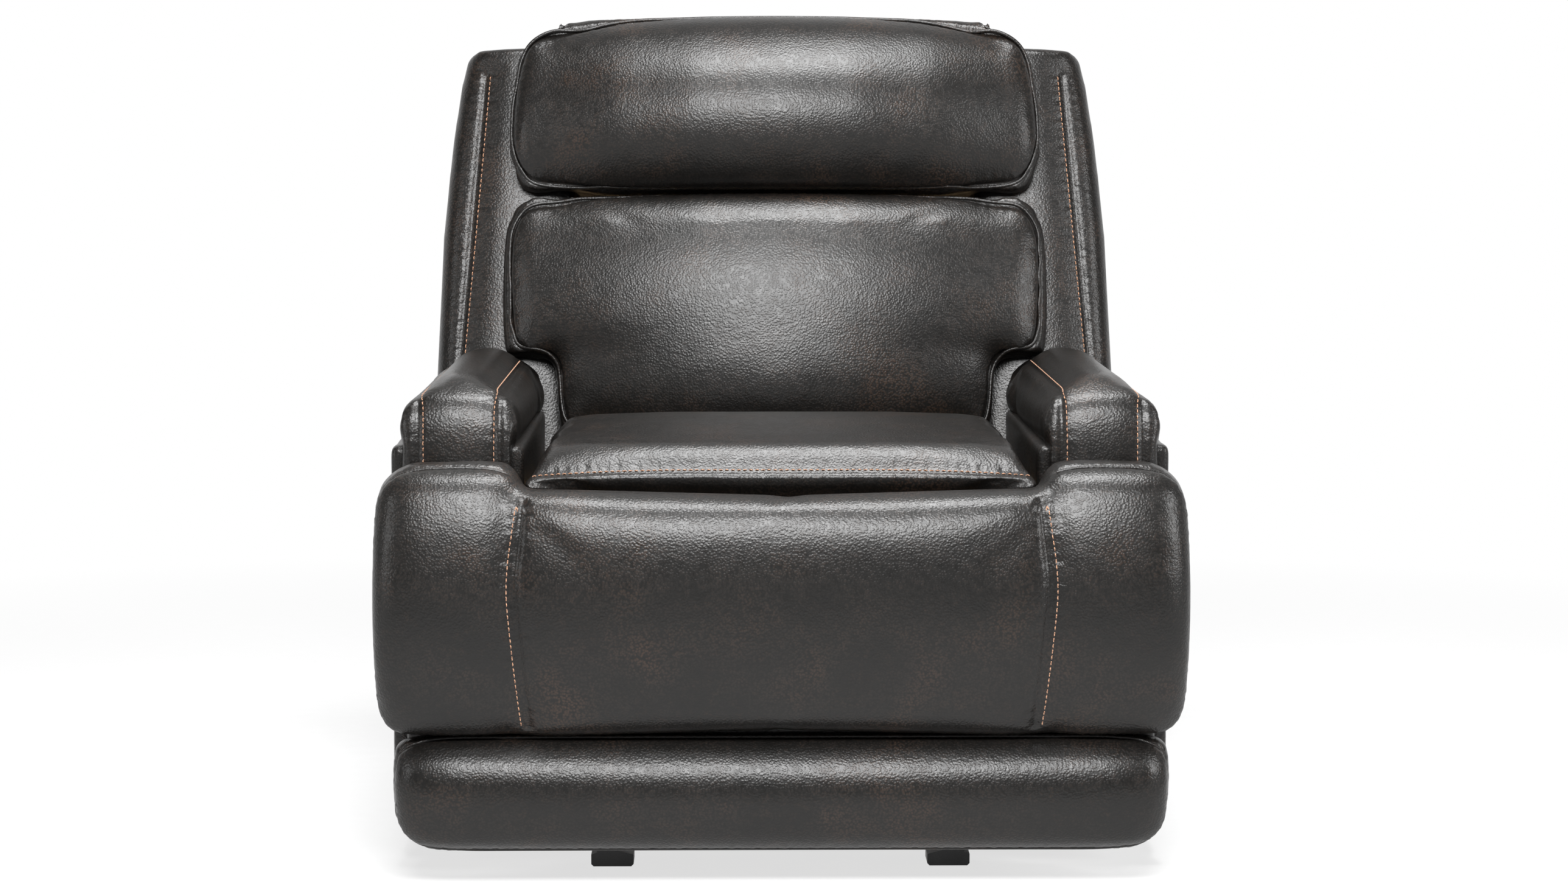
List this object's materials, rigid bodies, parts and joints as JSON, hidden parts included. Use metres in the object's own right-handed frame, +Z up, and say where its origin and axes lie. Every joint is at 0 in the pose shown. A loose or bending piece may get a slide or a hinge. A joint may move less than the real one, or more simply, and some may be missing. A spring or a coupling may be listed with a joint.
{
  "type": "glider recliner",
  "caption": "Padded leather glider recliner: swing-link base, pad arms, reclining back with headrest pillow, scissor-link footrest with full-width front pad and side release.",
  "frame": {"origin": "on the floor, below the middle of the overall box with the footrest in and the back up", "axes": "+X to the right seen from the front, front of the chair towards -Y, +Z up"},
  "size_m": [1, 1.0104, 1.0972],
  "materials": {
    "leather": "pebbled semi-gloss, antiqued, tan topstitching",
    "leather_back": "smooth matched upholstery",
    "frame_wood": "bare plywood and hardwood",
    "mechanism_steel": "black powder coat",
    "black_plastic": "moulded, fine grain",
    "cable_sheath": "smooth sheath",
    "zinc_steel": "zinc plated",
    "webbing": "woven elastic strap"
  },
  "bodies": {
    "base": {"base_cross_tube_front": "mechanism_steel", "base_cross_tube_rear": "mechanism_steel", "base_feet": "black_plastic", "base_runner_left": "mechanism_steel", "base_runner_right": "mechanism_steel", "glider_stand_left": "mechanism_steel", "glider_stand_right": "mechanism_steel"},
    "front_swing": {"front_swing_link_left": "mechanism_steel", "front_swing_link_right": "mechanism_steel"},
    "rear_swing": {"rear_swing_link_left": "mechanism_steel", "rear_swing_link_right": "mechanism_steel"},
    "carriage": {"arm_board_left": "frame_wood", "arm_board_right": "frame_wood", "arm_inner_panel_left": "leather", "arm_inner_panel_right": "leather", "arm_outer_panel_left": "leather", "arm_outer_panel_right": "leather", "arm_pad_left": "leather", "arm_pad_right": "leather", "release_bezel": "black_plastic", "release_cable": "cable_sheath", "seat_cushion": "leather", "seat_rail_front": "frame_wood", "seat_rail_left": "frame_wood", "seat_rail_rear": "frame_wood", "seat_rail_right": "frame_wood", "seat_springs": "zinc_steel", "side_plate_left": "mechanism_steel", "side_plate_right": "mechanism_steel"},
    "release_paddle": {"release_paddle": "black_plastic"},
    "back": {"back_bracket_left": "mechanism_steel", "back_bracket_right": "mechanism_steel", "back_cushion": "leather", "back_outer_panel": "leather_back", "back_rail_bottom": "frame_wood", "back_rail_middle": "frame_wood", "back_rail_top": "frame_wood", "back_stile_left": "frame_wood", "back_stile_right": "frame_wood", "back_webbing": "webbing", "back_wing_left": "leather", "back_wing_right": "leather", "headrest_pillow": "leather"},
    "footrest_drive": {"drive_link_left": "mechanism_steel", "drive_link_right": "mechanism_steel", "drive_tube": "mechanism_steel"},
    "footrest_riser": {"riser_link_left": "mechanism_steel", "riser_link_right": "mechanism_steel"},
    "footrest_control": {"control_link_left": "mechanism_steel", "control_link_right": "mechanism_steel"},
    "footrest_carrier": {"carrier_link_left": "mechanism_steel", "carrier_link_right": "mechanism_steel"},
    "footrest": {"footrest_board": "frame_wood", "footrest_bracket_left": "mechanism_steel", "footrest_bracket_right": "mechanism_steel", "footrest_lower_pad": "leather", "footrest_upper_pad": "leather"}
  },
  "joints": [
    {"name": "glide", "type": "slide", "parent": "base", "child": "carriage", "axis": [0, 1, 0], "range_m": [-0.036, 0.036], "stiffness_N_per_m": 3500},
    {"name": "glide_front", "type": "hinge", "parent": "base", "child": "front_swing", "pos_m": [0, -0.15, 0.25], "axis": [-1, 0, 0], "range_deg": [-14.8, 14.8]},
    {"name": "glide_rear", "type": "hinge", "parent": "base", "child": "rear_swing", "pos_m": [0, 0.09, 0.25], "axis": [-1, 0, 0], "range_deg": [-14.8, 14.8]},
    {"name": "recline", "type": "hinge", "parent": "carriage", "child": "back", "pos_m": [0, 0.19959, 0.33], "axis": [-1, 0, 0], "range_deg": [0, 35]},
    {"name": "release", "type": "hinge", "parent": "carriage", "child": "release_paddle", "pos_m": [-0.487, 0.04, 0.344], "axis": [0, 1, 0], "range_deg": [0, 30], "stiffness_Nm_per_rad": 0.35},
    {"name": "footrest", "type": "hinge", "parent": "carriage", "child": "footrest_drive", "pos_m": [0, -0.10398, 0.328], "axis": [-1, 0, 0], "range_deg": [0, 49.5]},
    {"name": "footrest_riser", "type": "hinge", "parent": "footrest_drive", "child": "footrest_riser", "pos_m": [0, -0.26698, 0.1878], "axis": [-1, 0, 0], "range_deg": [-98.25, 0]},
    {"name": "footrest_control", "type": "hinge", "parent": "carriage", "child": "footrest_control", "pos_m": [0, 0.00982, 0.3088], "axis": [-1, 0, 0], "range_deg": [0, 41.63]},
    {"name": "footrest_carrier", "type": "hinge", "parent": "footrest_drive", "child": "footrest_carrier", "pos_m": [0, -0.18619, 0.20229], "axis": [-1, 0, 0], "range_deg": [-90.34, 0]},
    {"name": "footrest_pad", "type": "hinge", "parent": "footrest_riser", "child": "footrest", "pos_m": [0, -0.3825, 0.36913], "axis": [-1, 0, 0], "range_deg": [0, 129.75]}
  ],
  "couplings": [
    {"joint": "glide_front", "follows": "glide", "rad_per_m": -7.1429},
    {"joint": "glide_rear", "follows": "glide", "rad_per_m": -7.1429},
    {"joint": "footrest_riser", "follows": "footrest", "ratio": -1.9838},
    {"joint": "footrest_control", "follows": "footrest", "ratio": 0.84},
    {"joint": "footrest_carrier", "follows": "footrest", "ratio": -1.824},
    {"joint": "footrest_pad", "follows": "footrest", "ratio": 2.6202}
  ]
}
